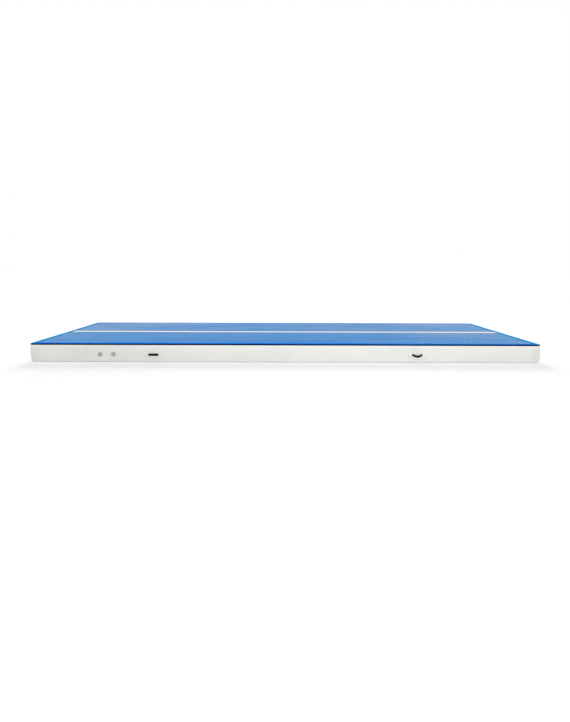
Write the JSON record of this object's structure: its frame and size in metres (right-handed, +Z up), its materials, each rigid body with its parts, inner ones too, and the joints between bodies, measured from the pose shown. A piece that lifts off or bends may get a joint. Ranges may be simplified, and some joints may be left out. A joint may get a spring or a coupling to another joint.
{
  "type": "air track mat",
  "caption": "Long inflated gymnastics floor mat with a blue top, taped edges, black piping, webbing carry handles and round air valves in its side wall.",
  "frame": {"origin": "centre of the mat's footprint, on the floor", "axes": "+X along the length, -Y out of the long side with the valves, +Z up"},
  "size_m": [6, 2.0786, 0.22],
  "materials": {
    "top_fabric": "satin coated fabric",
    "wall_fabric": "satin coated fabric",
    "border_tape": "satin coated tape",
    "stripe_tape": "matt print film",
    "piping": "satin extruded bead",
    "seam_tape": "satin coated tape",
    "yarn": "raw polyester yarn",
    "webbing": "woven webbing",
    "seal": "moulded rubber",
    "valve_body": "moulded plastic",
    "valve_cap": "moulded plastic",
    "spring_wire": "drawn wire"
  },
  "bodies": {
    "mat": {"top_skin": "top_fabric", "bottom_skin": "wall_fabric", "drop_stitch_yarns": "yarn", "side_wall_front_left": "wall_fabric", "side_wall_valve_panel": "wall_fabric", "side_wall_front_right": "wall_fabric", "side_wall_rear": "wall_fabric", "side_wall_left": "wall_fabric", "side_wall_right": "wall_fabric", "corner_wrap_front_left": "wall_fabric", "corner_wrap_front_right": "wall_fabric", "corner_wrap_rear_left": "wall_fabric", "corner_wrap_rear_right": "wall_fabric", "border_tape_front": "border_tape", "border_tape_rear": "border_tape", "border_tape_left": "border_tape", "border_tape_right": "border_tape", "centre_stripe": "stripe_tape", "edge_piping": "piping", "upper_seam_tape": "seam_tape", "lower_seam_tape": "seam_tape", "handle_patch_front_left": "wall_fabric", "handle_anchors_front_left": "wall_fabric", "handle_strap_ends_front_left": "webbing", "handle_patch_front_right": "wall_fabric", "handle_anchors_front_right": "wall_fabric", "handle_strap_ends_front_right": "webbing", "handle_patch_rear_left": "wall_fabric", "handle_anchors_rear_left": "wall_fabric", "handle_strap_ends_rear_left": "webbing", "handle_patch_rear_right": "wall_fabric", "handle_anchors_rear_right": "wall_fabric", "handle_strap_ends_rear_right": "webbing", "valve_doubler": "wall_fabric", "valve_gasket_left": "seal", "valve_body_left": "valve_body", "valve_backnut_left": "valve_body", "valve_spring_left": "spring_wire", "valve_gasket_right": "seal", "valve_body_right": "valve_body", "valve_backnut_right": "valve_body", "valve_spring_right": "spring_wire"},
    "grip_front_left": {"handle_grip_front_left": "webbing"},
    "grip_front_right": {"handle_grip_front_right": "webbing"},
    "grip_rear_left": {"handle_grip_rear_left": "webbing"},
    "grip_rear_right": {"handle_grip_rear_right": "webbing"},
    "plunger_left": {"valve_plunger_left": "valve_cap", "valve_poppet_seal_left": "seal"},
    "cap_ring_left": {"valve_cap_seal_left": "seal"},
    "cap_left": {"valve_cap_left": "valve_cap"},
    "plunger_right": {"valve_plunger_right": "valve_cap", "valve_poppet_seal_right": "seal"},
    "cap_ring_right": {"valve_cap_seal_right": "seal"},
    "cap_right": {"valve_cap_right": "valve_cap"}
  },
  "joints": [
    {"name": "grip_swing_front_left", "type": "hinge", "parent": "mat", "child": "grip_front_left", "pos_m": [-1.545, -1.0153, 0.093], "axis": [1, 0, 0], "range_deg": [-70, 90]},
    {"name": "grip_swing_front_right", "type": "hinge", "parent": "mat", "child": "grip_front_right", "pos_m": [1.545, -1.0153, 0.093], "axis": [1, 0, 0], "range_deg": [-115, 45]},
    {"name": "grip_swing_rear_left", "type": "hinge", "parent": "mat", "child": "grip_rear_left", "pos_m": [-1.545, 1.0153, 0.093], "axis": [-1, 0, 0], "range_deg": [-115, 45]},
    {"name": "grip_swing_rear_right", "type": "hinge", "parent": "mat", "child": "grip_rear_right", "pos_m": [1.545, 1.0153, 0.093], "axis": [-1, 0, 0], "range_deg": [-70, 90]},
    {"name": "cap_lift_left", "type": "slide", "parent": "mat", "child": "cap_ring_left", "axis": [0, -1, 0], "range_m": [0, 0.007]},
    {"name": "cap_turn_left", "type": "hinge", "parent": "cap_ring_left", "child": "cap_left", "pos_m": [-2.169, -0.9989, 0.095], "axis": [0, -1, 0], "range_deg": [0, 360]},
    {"name": "plunger_press_left", "type": "slide", "parent": "mat", "child": "plunger_left", "axis": [0, 1, 0], "range_m": [0, 0.006], "stiffness_N_per_m": 600, "springref_m": -0.006, "deforming": ["valve_spring_left"]},
    {"name": "cap_lift_right", "type": "slide", "parent": "mat", "child": "cap_ring_right", "axis": [0, -1, 0], "range_m": [0, 0.007]},
    {"name": "cap_turn_right", "type": "hinge", "parent": "cap_ring_right", "child": "cap_right", "pos_m": [-2.015, -0.9989, 0.095], "axis": [0, -1, 0], "range_deg": [0, 360]},
    {"name": "plunger_press_right", "type": "slide", "parent": "mat", "child": "plunger_right", "axis": [0, 1, 0], "range_m": [0, 0.006], "stiffness_N_per_m": 600, "springref_m": -0.006, "deforming": ["valve_spring_right"]}
  ],
  "couplings": [
    {"joint": "cap_lift_left", "follows": "cap_turn_left", "m_per_rad": 0.001114},
    {"joint": "cap_lift_right", "follows": "cap_turn_right", "m_per_rad": 0.001114}
  ]
}
